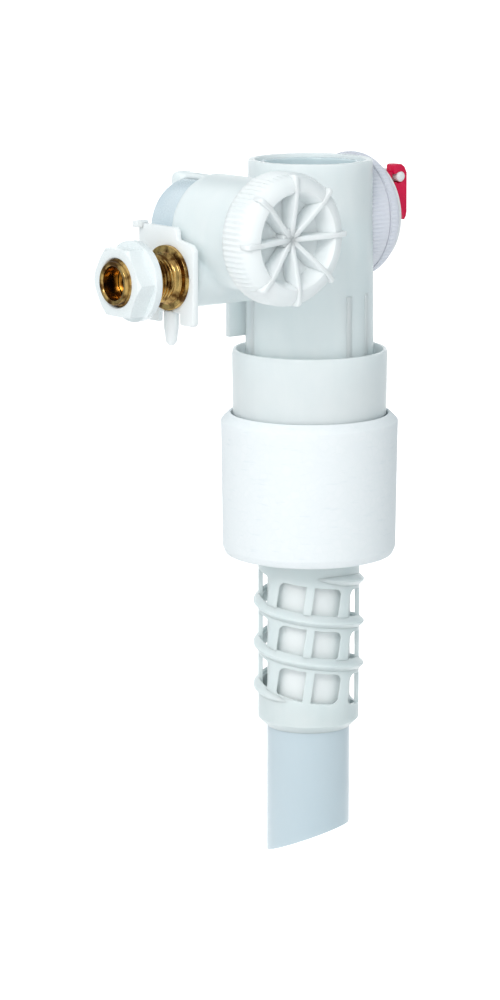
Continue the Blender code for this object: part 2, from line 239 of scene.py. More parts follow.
def bead_foam(name):
    """Expanded foam: packed beads with slightly darker seams, and a few scuffs."""
    foam = Finish(name, IOR=1.3, Subsurface_Weight=0.25, Subsurface_Scale=0.002,
                  Subsurface_Radius=(1.0, 1.0, 1.0), Specular_IOR_Level=0.25)
    bead = 1 / BEAD_SIZE
    seam = foam.node("TexVoronoi", {"feature": "DISTANCE_TO_EDGE"}, {"Vector": foam.where, "Scale": bead})
    shade = foam.node("TexVoronoi", {"feature": "F1"}, {"Vector": foam.where, "Scale": bead}, "Color")
    single = foam.node("SeparateColor", {}, {0: shade})
    crease = foam.remap(seam, 0.0, 0.16)
    patch = foam.noise(0.012, 3.0)
    scuff = foam.remap(foam.noise(0.0016, 2.0, (0.25, 0.25, 1.6)), 0.62, 0.76)
    pale = foam.mix(single * 0.3 + patch * 0.4, tone(0.90, 0.93, 0.95), tone(0.85, 0.895, 0.92))
    seamed = foam.mix(crease, tone(0.87, 0.91, 0.93), pale)
    colour = foam.mix(scuff * 0.4, seamed, tone(0.76, 0.83, 0.87))
    height = crease * 0.12 + patch * 0.5 - scuff * 0.3 + foam.noise(0.0009, 3.0) * 0.4
    return foam.surface(colour, 0.62 + crease * 0.12, height, 0.35, 0.0003)


def turned_brass(name):
    """Bright brass with fine tool rings round the inlet's axis and wide patches of painted dark reflection."""
    brass = Finish(name, Metallic=1.0)
    rings = brass.noise(0.0005, 2.0, (1, 0.03, 0.03))
    # Wide dark patches painted into the colour stand in for reflections of dim surroundings.
    painted_dark_reflection = brass.remap(brass.noise(0.004, 5.0), 0.40, 0.60)
    colour = brass.mix(painted_dark_reflection, tone(0.66, 0.43, 0.15), tone(0.13, 0.06, 0.015))
    return brass.surface(colour, 0.12 + painted_dark_reflection * 0.14 + rings * 0.06, rings, 0.25, 0.0001)


def moulded_rubber(name):
    rubber = Finish(name, IOR=1.5)
    dust = rubber.noise(0.003, 5.0)
    colour = rubber.mix(rubber.remap(dust, 0.45, 0.8), tone(0.018, 0.018, 0.02), tone(0.07, 0.07, 0.072))
    return rubber.surface(colour, 0.55 + dust * 0.2, rubber.noise(0.0004, 2.0), 0.2, 0.0001)


def drawn_steel(name):
    steel = Finish(name, Metallic=1.0)
    line = steel.noise(0.0008, 3.0, (1, 0.05, 1))
    colour = steel.mix(line, tone(0.62, 0.62, 0.63), tone(0.48, 0.48, 0.5))
    return steel.surface(colour, 0.25 + line * 0.15, line, 0.15, 0.0001)


MILKY = moulded("milky_plastic", tone(0.84, 0.90, 0.905), tone(0.79, 0.865, 0.875), 0.34, 0.6, 0.004)
WHITE = moulded("white_plastic", tone(0.91, 0.945, 0.95), tone(0.87, 0.92, 0.93), 0.36, 0.5)
NYLON = moulded("nut_plastic", tone(0.87, 0.92, 0.925), tone(0.82, 0.875, 0.885), 0.28, 0.3)
TUBE = outlet_plastic("tube_plastic")
PALE_BLUE = moulded("blue_plastic", tone(0.66, 0.745, 0.79), tone(0.61, 0.71, 0.765), 0.28, 0.4)
LAVENDER = moulded("ring_plastic", tone(0.80, 0.81, 0.88), tone(0.74, 0.765, 0.84), 0.36, 0.3)
GLASSY = moulded("rim_plastic", tone(0.66, 0.76, 0.79), tone(0.60, 0.71, 0.75), 0.14, 0.5, 0.003)
RED = moulded("red_plastic", tone(0.78, 0.006, 0.075), tone(0.66, 0.004, 0.055), 0.26, 0.1, 0.0008)
CAGE = moulded("cage_plastic", tone(0.75, 0.83, 0.83), tone(0.69, 0.785, 0.79), 0.34, 0.6, 0.004)
FOAM = bead_foam("bead_foam")
BRASS = turned_brass("turned_brass")
RUBBER = moulded_rubber("moulded_rubber")
STEEL = drawn_steel("drawn_steel")


# ---------------------------------------------------------------- shaping

def revolve(outline, steps=128):
    """Spin a closed outline of (radius, height) about local Z."""
    bm = bmesh.new()
    ring = [bm.verts.new((radius, 0, height)) for radius, height in outline]
    for start, end in zip(ring, ring[1:] + ring[:1]):
        if start.co.x > 0 or end.co.x > 0:
            bm.edges.new((start, end))
    bmesh.ops.spin(bm, geom=bm.verts[:] + bm.edges[:], cent=(0, 0, 0), axis=(0, 0, 1),
                   angle=TURN, steps=steps, use_merge=True)
    bmesh.ops.remove_doubles(bm, verts=bm.verts, dist=0.0005)
    bmesh.ops.recalc_face_normals(bm, faces=bm.faces)
    return bm


def solid(radius, low, high, steps=96):
    return revolve([(0, high), (radius, high), (radius, low), (0, low)], steps)


def pipe(inner, outer, low, high, steps=128):
    return revolve([(outer, high), (outer, low), (inner, low), (inner, high)], steps)


def brick(low, high):
    bm = bmesh.new()
    bmesh.ops.create_cube(bm, size=1)
    low, high = Vector(low), Vector(high)
    bmesh.ops.scale(bm, vec=high - low, verts=bm.verts)
    bmesh.ops.translate(bm, vec=(low + high) / 2, verts=bm.verts)
    return bm


def plate(outline, thick):
    """Extrude an outline in the local XY plane up to a thickness."""
    bm = bmesh.new()
    face = bm.faces.new([bm.verts.new((x, y, 0)) for x, y in outline])
    made = bmesh.ops.extrude_face_region(bm, geom=[face])["geom"]
    lifted = [item for item in made if isinstance(item, bmesh.types.BMVert)]
    bmesh.ops.translate(bm, vec=(0, 0, thick), verts=lifted)
    bmesh.ops.recalc_face_normals(bm, faces=bm.faces)
    return bm


def coil(outline, base, turns, pitch, fade, steps_per_turn=72):
    """Sweep a closed outline of (radius, height) along a helix; both ends sink into the base radius."""
    bm = bmesh.new()
    steps = int(abs(turns) * steps_per_turn)
    rings = []
    for step in range(steps + 1):
        angle = TURN * turns * step / steps
        grow = min(1.0, step / fade, (steps - step) / fade)
        grow = grow * grow * (3 - 2 * grow)
        rise = pitch * abs(turns) * step / steps
        ring = []
        for radius, height in outline:
            reach = base - 0.8 + (radius - base + 0.8) * grow
            spot = (reach * math.cos(angle), reach * math.sin(angle), rise + height * (0.4 + 0.6 * grow))
            ring.append(bm.verts.new(spot))
        rings.append(ring)
    for near, far in zip(rings, rings[1:]):
        for index, vert in enumerate(near):
            after = (index + 1) % len(near)
            bm.faces.new((vert, near[after], far[after], far[index]))
    bm.faces.new(rings[0])
    bm.faces.new(rings[-1])
    bmesh.ops.recalc_face_normals(bm, faces=bm.faces)
    return bm


def soften(bm, width, segments=3, angle=30):
    """Round every edge that turns by more than an angle in degrees."""
    sharp = [edge for edge in bm.edges
             if edge.is_manifold and edge.calc_face_angle(0) > math.radians(angle)]
    bmesh.ops.bevel(bm, geom=sharp, offset=width, offset_type="OFFSET", segments=segments,
                    profile=0.5, affect="EDGES", clamp_overlap=True, material=-1)
    return bm


def moved(bm, matrix):
    bmesh.ops.transform(bm, matrix=matrix, verts=bm.verts)
    return bm


def turned_by(angle):
    return Matrix.Rotation(angle, 4, "Z")


def together(*parts):
    """Put several bmeshes into the first, as separate shells of one piece."""
    whole = parts[0]
    for part in parts[1:]:
        carrier = bpy.data.meshes.new("carrier")
        part.to_mesh(carrier)
        part.free()
        whole.from_mesh(carrier)
        bpy.data.meshes.remove(carrier)
    return whole


def as_object(name, bm):
    mesh = bpy.data.meshes.new(name)
    bm.to_mesh(mesh)
    bm.free()
    made = bpy.data.objects.new(name, mesh)
    bpy.context.scene.collection.objects.link(made)
    return made


def evaluated(piece):
    """The bmesh of a helper object with its modifiers; the helper goes away."""
    graph = bpy.context.evaluated_depsgraph_get()
    mesh = bpy.data.meshes.new_from_object(piece.evaluated_get(graph))
    bm = bmesh.new()
    bm.from_mesh(mesh)
    bpy.data.meshes.remove(mesh)
    bpy.data.objects.remove(piece)
    return bm


def combine(bm, tools, operation):
    """Boolean of a bmesh with several others, one after another."""
    base = as_object("base", bm)
    helpers = [as_object("tool", tool) for tool in tools]
    for helper in helpers:
        step = base.modifiers.new("step", "BOOLEAN")
        step.operation = operation
        step.object = helper
        step.solver = "EXACT"
    bpy.context.view_layer.update()
    result = evaluated(base)
    for helper in helpers:
        bpy.data.objects.remove(helper)
    return result


def melt(bm, voxel, passes):
    """Remesh at an even size and relax, so that joined walls run into each other in fillets."""
    base = as_object("base", bm)
    step = base.modifiers.new("voxels", "REMESH")
    step.mode = "VOXEL"
    step.voxel_size = voxel
    bpy.context.view_layer.update()
    result = evaluated(base)
    for _ in range(passes):
        bmesh.ops.smooth_vert(result, verts=result.verts, factor=0.5,
                              use_axis_x=True, use_axis_y=True, use_axis_z=True)
    return result


def knurl(bm, teeth, depth, low, high, radius_min):
    """Raise fine teeth on the outside of a ring, between two heights."""
    fade = (high - low) * 0.15
    for vert in bm.verts:
        radius = math.hypot(vert.co.x, vert.co.y)
        if radius < radius_min or not low <= vert.co.z <= high:
            continue
        edge = min(vert.co.z - low, high - vert.co.z) / fade
        wave = math.cos(teeth * math.atan2(vert.co.y, vert.co.x))
        grow = 1 + depth * min(1.0, edge) * (wave - 1) / 2 / radius
        vert.co.x *= grow
        vert.co.y *= grow
    return bm


def publish(name, bm, body, finish, where=None, stands_for=(), sharp=35):
    """Make the piece that shows: in metres, at the origin, riding on its body."""
    if where:
        moved(bm, where)
    bmesh.ops.scale(bm, vec=(MM, MM, MM), verts=bm.verts)
    mesh = bpy.data.meshes.new(name)
    bm.to_mesh(mesh)
    bm.free()
    mesh.shade_smooth()
    mesh.set_sharp_from_angle(angle=math.radians(sharp))
    mesh.materials.append(finish)
    piece = bpy.data.objects.new(name, mesh)
    bpy.context.scene.collection.objects.link(piece)
    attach(piece, body)
    if stands_for:
        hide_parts(*stands_for)
    return piece


# ---------------------------------------------------------------- body

BARREL_R = 22.1
BARREL_FOOT_R = 22.9
BARREL_END = -40.0
SOCKET_R = 16.4
SOCKET_END = -62.0
RIM_BORE = 19.8
RIM_INSIDE = 17.0
CHAMBER_R = 19.5
PLUG_R = 17.0
CHAMBER_FRONT = 26.5
CHAMBER_BACK = 4.9
PIPE_R = 11.2
BRIDGE_R = 15.0
GAP = 0.3
PORT_R = 6.0


def barrel():
    """The upright barrel with its socket below; the wall is drafted, so it is wider at the foot."""
    outline = [
        (BARREL_R, BARREL_TOP), (BARREL_FOOT_R, CUP_TOP), (BARREL_FOOT_R, BARREL_END),
        (SOCKET_R, BARREL_END), (SOCKET_R, SOCKET_END), (SOCKET_R - 1, SOCKET_END), (SOCKET_R - 1, -43.7),
        (12.7, -43.7), (12.7, -38.0), (RIM_INSIDE, -38.0), (RIM_INSIDE, 16.0), (RIM_BORE, 16.0),
        (RIM_BORE, BARREL_TOP),
    ]
    shell = soften(revolve(outline, 160), 0.35, 3)
    port = moved(solid(PORT_R, 36.0, 52.0, 48), place(0, 0, CAP.z, "X"))
    low, high = box_mm("pilot_seal")
    pilot = moved(solid((high.z - low.z) / 2 + 0.5, low.x - 3.0, 92.0, 32), ON_REAR)
    shell = combine(moved(shell, ON_BARREL), [port, pilot], "DIFFERENCE")
    publish("barrel", shell, "body", MILKY, stands_for=["valve_body"])


RIB_ANGLES = (36.5, 61.0, -64.5, -87.0, 118.0, 150.0)    # degrees round from the side that faces the camera


def barrel_ribs():
    """Upright key ribs in pairs, which stop the cup from turning."""
    ribs = None
    for degrees in RIB_ANGLES:
        rib = soften(brick((BARREL_R - 0.8, -1.1, -38.0), (BARREL_FOOT_R + 0.1, 1.1, -10.0)), 0.3, 2)
        rib = moved(rib, ON_BARREL @ turned_by(FRONT_TURN + math.radians(degrees)))
        ribs = together(ribs, rib) if ribs else rib
    publish("barrel_ribs", ribs, "body", MILKY)


def housing():
    """Side chamber, inlet pipe, the webs between them and the rail on top, melted into one moulding."""
    chamber = moved(solid(CHAMBER_R, -CHAMBER_BACK, CHAMBER_FRONT), ON_CHAMBER)
    additions = [
        moved(solid(BRIDGE_R, 38.0, 50.0), place(0, 0, CAP.z, "X")),
        moved(solid(PIPE_R, 6.0, 50.0), ON_INLET),
        brick((8.5, -10.6, -3.0), (40.0, 4.0, 12.0)),
        brick((CAP.x - 2.1, 0.0, 31.0), (CAP.x + 2.1, 21.5, 33.4)),
        moved(solid(3.4, CAP.x - 3.5, CAP.x + 3.5, 32), place(0, 21.5, 30.2, "X")),
    ]
    cuts = [
        moved(solid(16.0, -1.0, 40.0), ON_CHAMBER),
        moved(solid(3.0, -CHAMBER_BACK - 1, 0.0), ON_CHAMBER),
        moved(solid(8.0, 0.0, 24.0), ON_INLET),
        moved(solid(PORT_R, 36.0, 60.0), place(0, 0, CAP.z, "X")),
    ]
    shape = combine(combine(chamber, additions, "UNION"), cuts, "DIFFERENCE")
    shape = melt(shape, 0.62, 9)
    publish("chamber_housing", shape, "body", MILKY, sharp=60)


REAR_TEETH = 90
COLLAR_R = 22.2
COLLAR_BORE = 15.0
COLLAR_OUT = 88.8
COLLAR_LONG = 16.0


def rear_arm():
    """Short arm and knurled collar that carry the pilot head, and the fin beside the barrel's foot."""
    arm = soften(moved(pipe(12.0, 16.0, 86.2, 92.0, 96), ON_REAR), 0.3, 2)
    publish("rear_arm", arm, "body", MILKY)
    rows = [(COLLAR_R, COLLAR_OUT - COLLAR_LONG * step / 8) for step in range(9)]
    outline = [(COLLAR_BORE, COLLAR_OUT)] + rows + [(COLLAR_BORE, COLLAR_OUT - COLLAR_LONG)]
    collar = knurl(revolve(outline, REAR_TEETH * 4), REAR_TEETH, 0.4, 72.0, COLLAR_OUT + 0.1, 21.0)
    inside = moved(solid(BARREL_R - 0.3, -40, 60), ON_BARREL)
    collar = combine(moved(collar, ON_REAR), [inside], "DIFFERENCE")
    publish("rear_collar", collar, "body", LAVENDER)
    fin = soften(brick((42.5, 17.0, -26.9), (55.0, 19.0, 0.0)), 0.5, 3)
    publish("stop_fin", fin, "body", MILKY)


def rim():
    """Clear thick ring in the barrel's mouth."""
    low, high = box_mm("rim_ring")
    outline = [
        (RIM_BORE - 0.3, high.z), (RIM_BORE - 0.3, low.z), (RIM_INSIDE, low.z), (RIM_INSIDE, high.z),
    ]
    publish("rim_ring_clear", soften(revolve(outline, 160), 0.6, 4), "body", GLASSY, ON_BARREL,
            ["rim_ring"])


def back_plug():
    """Pale blue plug with a rounded back, cut away round the rail, the knob, the pipe and the bridge."""
    back = -box_mm("back_plug")[1].y
    front = -CHAMBER_BACK - GAP
    outline = [(0, back), (PLUG_R, back), (PLUG_R, front), (0, front)]
    gaps = [
        brick((CAP.x - 3.8, 17.8, 26.5), (CAP.x + 3.8, 26, 40)),
        brick((CAP.x - 2.4, 4, 30.7), (CAP.x + 2.4, 26, 40)),
        moved(solid(PIPE_R + GAP, 0, 60), ON_INLET),
        moved(solid(BRIDGE_R + GAP, 38.0 - GAP, 60), place(0, 0, CAP.z, "X")),
    ]
    shape = combine(moved(soften(revolve(outline, 128), 2.6, 6), ON_CHAMBER), gaps, "DIFFERENCE")
    publish("back_plug_smooth", shape, "body", PALE_BLUE, stands_for=["back_plug"])


OUTLET_CUT_Z = -213.0                         # height of the cut on the tube's axis
OUTLET_CUT_SLANT = Vector((0.1445, -0.388, -1))


def outlet():
    """Down tube with its end cut off aslant."""
    low, high = box_mm("outlet_tube")
    shape = pipe(12.7, 15.1, low.z - 2.0, high.z, 128)
    bmesh.ops.bisect_plane(shape, geom=shape.verts[:] + shape.edges[:] + shape.faces[:],
                           plane_co=(0, 0, OUTLET_CUT_Z), plane_no=OUTLET_CUT_SLANT, clear_outer=True)
    bmesh.ops.bridge_loops(shape, edges=[edge for edge in shape.edges if edge.is_boundary])
    bmesh.ops.recalc_face_normals(shape, faces=shape.faces)
    publish("outlet_tube_cut", soften(shape, 0.25, 2), "body", TUBE, ON_BARREL,
            ["outlet_tube"])


# ---------------------------------------------------------------- inlet

NIPPLE_R = 8.33
FLANGE_R = 11.3
NUT_FLANGE_R = 14.0
NUT_ACROSS_FLATS = 23.0
NUT_DEPTH = 8.0
THREAD_PITCH = 1.337                          # nineteen threads to the inch


def nipple():
    """Brass nipple: flanged tube with a rolled thread, standing out of the flange."""
    root = NIPPLE_R - 0.86
    outline = [
        (6.1, -23.0), (5.75, -22.4), (5.75, 14.5), (7.7, 14.5), (7.7, 13.0), (6.3, 13.0), (6.3, 10.0),
        (7.7, 10.0), (7.7, 2.4), (FLANGE_R, 2.4), (FLANGE_R, 0), (8.9, 0), (8.9, -0.6), (root, -1.4), (root, -23.0),
    ]
    publish("nipple_turned", soften(revolve(outline, 128), 0.3, 3), "body", BRASS, ON_INLET,
            ["inlet_nipple"])
    tooth = [(root - 0.25, -0.62), (root - 0.25, 0.62), (root, 0.58), (NIPPLE_R - 0.1, 0.1),
             (NIPPLE_R, 0.0), (NIPPLE_R - 0.1, -0.1), (root, -0.58)]
    turns = 15.0
    start = Matrix.Translation((0, 0, -21.8))
    thread = moved(coil(tooth, root, turns, THREAD_PITCH, 30), start)
    publish("nipple_thread", thread, "body", BRASS, ON_INLET)


def nut():
    """Hexagon lock nut on its round flange."""
    low, high = box_mm("lock_nut")
    flange = revolve([(0, high.x), (NUT_FLANGE_R, high.x), (NUT_FLANGE_R, -14.8), (0, -14.8)], 128)
    hexagon = bmesh.new()
    corner = NUT_ACROSS_FLATS / math.sqrt(3)
    bmesh.ops.create_cone(hexagon, cap_ends=True, segments=6, radius1=corner, radius2=corner, depth=NUT_DEPTH)
    hexagon = moved(hexagon, Matrix.Translation((0, 0, low.x + NUT_DEPTH / 2)))
    crown = revolve([(0, high.x), (16.0, high.x), (16.0, low.x + 2.4), (11.8, low.x), (0, low.x)], 128)
    hexagon = combine(hexagon, [crown], "INTERSECT")
    bore = revolve([(0, -30), (8.8, -30), (8.8, low.x), (8.45, low.x + 0.4), (8.45, 0), (0, 0)], 96)
    shape = combine(combine(flange, [hexagon], "UNION"), [bore], "DIFFERENCE")
    publish("lock_nut_hexagon", soften(shape, 0.4, 3, 25), "lock_nut", NYLON, ON_INLET,
            ["lock_nut"])


def nipple_plate():
    """Flat plate behind the brass flange with two legs and a tapered peg between them."""
    low, high = box_mm("nipple_plate")
    outline = [
        (-17.5, 16.5), (-17.5, -3.0), (-16.6, -4.0), (-13.4, -4.6), (-12.2, -11.6), (-10.4, -13.5),
        (15.0, -13.5), (16.0, -12.6), (16.0, -6.6),
        (15.4, -6.0), (12.0, -6.0), (12.0, 6.0), (16.0, 6.0), (16.0, 13.5), (-5.0, 13.5), (-5.0, 16.5),
    ]
    shape = plate(outline, high.x - low.x - 1.4)
    shape = combine(shape, [solid(8.0, -2, 8, 64)], "DIFFERENCE")
    shape = soften(shape, 0.4, 2)
    peg = revolve([(0, 0), (2.7, 0), (2.6, -6), (1.9, -11.0), (0.9, -12.2), (0, -12.2)], 40)
    peg = moved(peg, Matrix.Translation((11.5, 0, 1.2)) @ Matrix.Rotation(-math.pi / 2, 4, "Y"))
    lip = soften(brick((-18.4, 14.0, -2.4), (-16.0, 17.0, 2.6)), 0.4, 2)
    shape = together(shape, peg, lip)
    publish("nipple_plate_shaped", shape, "body", WHITE, place(low.x, 0, 0, "X"),
            ["nipple_plate"])


# ---------------------------------------------------------------- caps

CAP_R = 23.0
CAP_MOUTH_R = 16.8
CAP_TEETH = 72
CAP_RIBS = 8
CAP_RIB_THICK = 1.8


def front_cap():
    """Knurled skirt, wide rounded shoulder, deep mouth, and ribs that dip towards the middle."""
    rim = -CAP_FRONT + 1.2
    skirt = -CAP_BACK
    floor = rim - 7.4
    inside = 27.8
    shoulder = rim - 6.2
    heel = skirt + 3.2
    rows = 9
    outline = [(CAP_R, shoulder - (shoulder - heel) * row / rows) for row in range(rows + 1)]
    outline += [(CAP_R - 0.3, heel - 1.0), (CAP_R - 0.9, heel - 2.0), (CAP_R - 1.9, heel - 2.9),
                (CAP_R - 2.6, skirt), (CHAMBER_R + 0.4, skirt), (CHAMBER_R + 0.4, inside),
                (0, inside), (0, floor),
                (12.6, floor), (14.2, floor + 0.8), (15.4, rim - 2.6), (16.2, rim - 0.5)]
    steps = 9
    for step in range(steps):
        turn = step / steps * math.pi / 2
        outline.append((CAP_MOUTH_R + (CAP_R - CAP_MOUTH_R) * math.sin(turn),
                        shoulder + (rim - shoulder) * math.cos(turn)))
    shell = revolve(outline, CAP_TEETH * 4)
    shell = knurl(shell, CAP_TEETH, 0.5, heel - 2.6, shoulder + 3.4, CAP_R - 2.0)
    publish("front_cap_shell", shell, "front_cap", WHITE, ON_CHAMBER, ["front_cap"])
    tip = 22.6
    rib_side = [(0, floor - 0.6), (16.5, floor - 0.6), (20.0, shoulder + 1.0), (22.0, shoulder + 1.6),
                (tip, shoulder + 2.4), (tip, rim - 0.8), (tip - 0.8, rim), (17.2, rim + 0.5), (0, rim - 3.2)]
    half = CAP_RIB_THICK / 2
    ribs = soften(solid(4.1, floor - 0.5, rim - 3.3, 64), 0.6, 3)
    for count in range(CAP_RIBS):
        rib = soften(plate(rib_side, CAP_RIB_THICK), 0.45, 3)
        upright = Matrix.Translation((0, half, 0)) @ Matrix.Rotation(math.pi / 2, 4, "X")
        spoke = turned_by(TURN * count / CAP_RIBS + math.radians(2)) @ upright
        ribs = together(ribs, moved(rib, spoke))
    publish("front_cap_ribs", ribs, "front_cap", WHITE, ON_CHAMBER)


def rear_ring():
    """Knurled ring with a rounded outer shoulder."""
    low, high = REAR_IN, REAR_OUT
    radius = 22.6
    fillet = 3.8
    rows = 6
    bend = high - fillet
    outline = [(17.3, high), (17.3, low)]
    outline += [(radius, low + (bend - low) * row / rows) for row in range(rows + 1)]
    steps = 7
    for step in range(1, steps + 1):
        turn = step / steps * math.pi / 2
        outline.append((radius - fillet + fillet * math.cos(turn), bend + fillet * math.sin(turn)))
    shape = knurl(revolve(outline, REAR_TEETH * 4), REAR_TEETH, 0.4, low - 0.1, bend + 1.0, radius - 1.0)
    publish("rear_ring_knurled", shape, "rear_ring", LAVENDER, ON_REAR, ["rear_ring"])


def rear_plug():
    """End plate of the pilot head, with the ear that holds the lever's pin."""
    plug = [(4.0, 96.4), (20.0, 96.4), (20.0, 95.3), (17.0, 95.3), (17.0, 92.3), (11.7, 92.3),
            (11.7, 88.0), (4.0, 88.0)]
    disc = soften(moved(revolve(plug, 128), ON_REAR), 0.25, 2)
    ear = brick((95.8, -1.5, 24.5), (106.6, 0.9, 31.1))
    ear = combine(ear, [moved(solid(2.0, -5, 5, 32), place(PIN.x, 0, PIN.z, "-Y"))], "DIFFERENCE")
    publish("rear_plug_plate", together(disc, soften(ear, 0.4, 3)), "body", WHITE,
            stands_for=["rear_plug"])
    low, high = box_mm("lever_pin")
    pin = revolve([(0, -low.y), (1.2, -low.y), (1.9, -low.y - 0.7), (1.9, -high.y), (0, -high.y)], 48)
    publish("lever_pin_round", pin, "body", WHITE, place(PIN.x, 0, PIN.z, "-Y"),
            ["lever_pin"])


LEVER_THICK = 4.4


def lever():
    """Red cam lever: snapped on the pin, curved inner edge, foot and long arm behind."""
    low, high = box_mm("pilot_lever")
    inner = [(2.4 - 8.9 * math.sin(math.radians(angle)) ** 1.5, -15.4 + 14.0 * math.sin(math.radians(angle)))
             for angle in range(12, 90, 13)]
    outline = [(-3.0, 4.2), (-1.4, 4.9), (1.0, 4.9), (2.6, 3.8), (3.7, 1.6), (3.8, -12.6), (3.4, -14.2),
               (2.6, -15.4)] + inner + [(-6.5, -1.2), (-6.5, 1.5), (-5.7, 2.3), (-3.0, 2.3)]
    shape = plate(outline, LEVER_THICK)
    slot_cut = brick((-3.0, -1.45, -1), (0, 1.45, 6))
    notch = brick((-3.3, -1.45, -1), (-2.3, 6.0, 6))
    shape = combine(shape, [solid(2.05, -1, 6, 48), slot_cut, notch], "DIFFERENCE")
    shape = soften(shape, 0.35, 3)
    upright = place(PIN.x - 0.8, low.y + LEVER_THICK, PIN.z - 0.4) @ Matrix.Rotation(math.pi / 2, 4, "X")
    shape = moved(shape, upright)
    arm = soften(brick((PIN.x - 0.2, low.y + 2, PIN.z - 8.0), (PIN.x + 1.8, high.y, PIN.z - 5.4)), 0.4, 2)
    reach = soften(brick((low.x, high.y - 4.5, PIN.z - 7.7), (PIN.x + 1.5, high.y, PIN.z - 5.7)), 0.4, 2)
    foot = soften(brick((PIN.x + 1.4, low.y + 1, PIN.z - 15.0), (PIN.x + 2.6, 8.0, PIN.z - 12.0)), 0.3, 2)
    publish("pilot_lever_cam", together(shape, arm, reach, foot), "lever", RED,
            stands_for=["pilot_lever"])


# ---------------------------------------------------------------- float group

CUP_R = 27.9
CAGE_R = 18.4
CAGE_WALL = 1.6
CAGE_PITCH = 15.75
RIDGE_Z = -131.4                              # ridge height on the side that faces the lever
RIDGE_TURNS = -3.05                           # it climbs clockwise
WINDOW_ROWS = 3
WINDOW_HEIGHT = 11.4
WINDOW_HALF = 11.2                            # half a window's width, and half the bar down its middle
BAR_HALF = 1.5


def cup():
    """Thin open cup with a stepped rim, and the lug behind that carries the push rod."""
    wall = 1.5
    outline = [
        (CUP_R, CUP_TOP - 2.2), (CUP_R - 0.3, CUP_END + 2.4), (CUP_R - 1.6, CUP_END), (18.3, CUP_END),
        (18.3, CUP_END + 1.7), (CUP_R - wall - 0.6, CUP_END + 1.7), (CUP_R - wall, CUP_TOP),
        (CUP_R - 0.35, CUP_TOP),
    ]
    shell = soften(revolve(outline, 160), 0.25, 2)
    publish("float_cup_shell", shell, "carriage", MILKY, ON_BARREL, ["float_cup"])
    low, high = box_mm("push_rod")
    lug = soften(brick((84.6, 19.2, low.z - 3.2), (high.x + 1.5, high.y + 1.5, low.z - 0.3)), 0.6, 3)
    rod = soften(brick(low, high), 0.5, 3)
    publish("push_rod_arm", together(lug, rod), "carriage", WHITE, stands_for=["push_rod"])


def foam_float():
    """Foam float: chamfered top round the cup, slight taper, rounded foot."""
    top, foot = FLOAT_HIGH.z, FLOAT_LOW.z
    radius = (FLOAT_HIGH.x - FLOAT_LOW.x) / 2 + 0.2
    outline = [
        (28.3, top + 3.0), (29.1, top + 3.0), (radius, top + 0.2), (radius - 0.1, top - 4),
        (radius - 0.6, foot + 3.0), (radius - 1.6, foot + 0.6), (radius - 3.4, foot),
        (23.6, foot), (23.6, top - 0.1), (28.3, top - 0.1),
    ]
    shape = soften(revolve(outline, 160), 0.7, 3, 18)
    publish("float_foam", shape, "float", FOAM, ON_BARREL, ["float"])


def ridge_height(angle):
    """Height of the ridge at an angle about the barrel; it climbs clockwise, seen from above."""
    lever_side = -LOOK_ANGLE
    return RIDGE_Z + CAGE_PITCH * (lever_side - angle) / TURN


def cage():
    """Windowed sleeve; the windows climb with the ridge that winds round it."""
    top = box_mm("float_cage")[1].z
    inner = CAGE_R - CAGE_WALL
    outline = [
        (inner, top), (24.0, top), (24.0, top - CAGE_WALL), (CAGE_R, top - CAGE_WALL),
        (CAGE_R, CAGE_END + 3.0), (CAGE_R - 3.0, CAGE_END), (15.3, CAGE_END), (15.3, CAGE_END + 3.0),
        (inner, CAGE_END + 3.0),
    ]
    shell = revolve(outline, 144)
    tools = []
    for row in range(WINDOW_ROWS):
        for quarter in range(4):
            angle = FRONT_TURN + math.radians(-1) - quarter * math.pi / 2
            middle_z = ridge_height(angle) + CAGE_PITCH * (0.5 - row) - 1.1
            if quarter > 2:
                middle_z -= CAGE_PITCH
            tilt = Matrix.Rotation(-CAGE_PITCH / TURN / CAGE_R, 4, "X")
            for low_y, high_y in ((-WINDOW_HALF, -BAR_HALF), (BAR_HALF, WINDOW_HALF)):
                pane = brick((8, low_y, -WINDOW_HEIGHT / 2), (30, high_y, WINDOW_HEIGHT / 2))
                corners = [edge for edge in pane.edges
                           if abs((edge.verts[0].co - edge.verts[1].co).x) > 1
                           and abs(edge.verts[0].co.y) > 5]
                bmesh.ops.bevel(pane, geom=corners, offset=2.4, offset_type="OFFSET", segments=6,
                                profile=0.5, affect="EDGES", clamp_overlap=True, material=-1)
                tools.append(moved(pane, Matrix.Translation((0, 0, middle_z)) @ turned_by(angle) @ tilt))
    shell = combine(shell, [together(*tools)], "DIFFERENCE")
    publish("float_cage_sleeve", shell, "carriage", CAGE, ON_BARREL, ["float_cage"],
            sharp=40)


def cage_ridge():
    """Helical ridge that the float screws along."""
    side = [(CAGE_R - 0.5, 2.4), (CAGE_R + 0.2, 1.9), (CAGE_R + 1.0, 1.1), (CAGE_R + 1.7, 0.35)]
    lip = side + [(radius, -height) for radius, height in reversed(side)]
    start = -LOOK_ANGLE + TURN * 1.75
    winding = coil(lip, CAGE_R, RIDGE_TURNS, CAGE_PITCH, 14)
    winding = moved(winding, Matrix.Translation((0, 0, ridge_height(start))) @ turned_by(start))
    publish("cage_ridge", winding, "carriage", CAGE, ON_BARREL)


# ---------------------------------------------------------------- the rest

INNER_FINISH = {
    "white_plastic": WHITE, "milky_plastic": MILKY, "blue_plastic": PALE_BLUE, "rubber": RUBBER,
    "steel": STEEL, "brass": BRASS, "foam": FOAM, "red_plastic": RED,
}


def inner_pieces():
    """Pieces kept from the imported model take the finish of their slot."""
    slots = {entry["node"]: entry["material_slot"] for entry in frame["record"]["subparts"]}
    for node, piece in frame["nodes"].items():
        piece.data.materials.clear()
        piece.data.materials.append(INNER_FINISH[slots[node]])


RIGHT = Vector((math.cos(LOOK_ANGLE), -math.sin(LOOK_ANGLE), 0))
NEAR = Vector((-math.sin(LOOK_ANGLE), -math.cos(LOOK_ANGLE), 0))


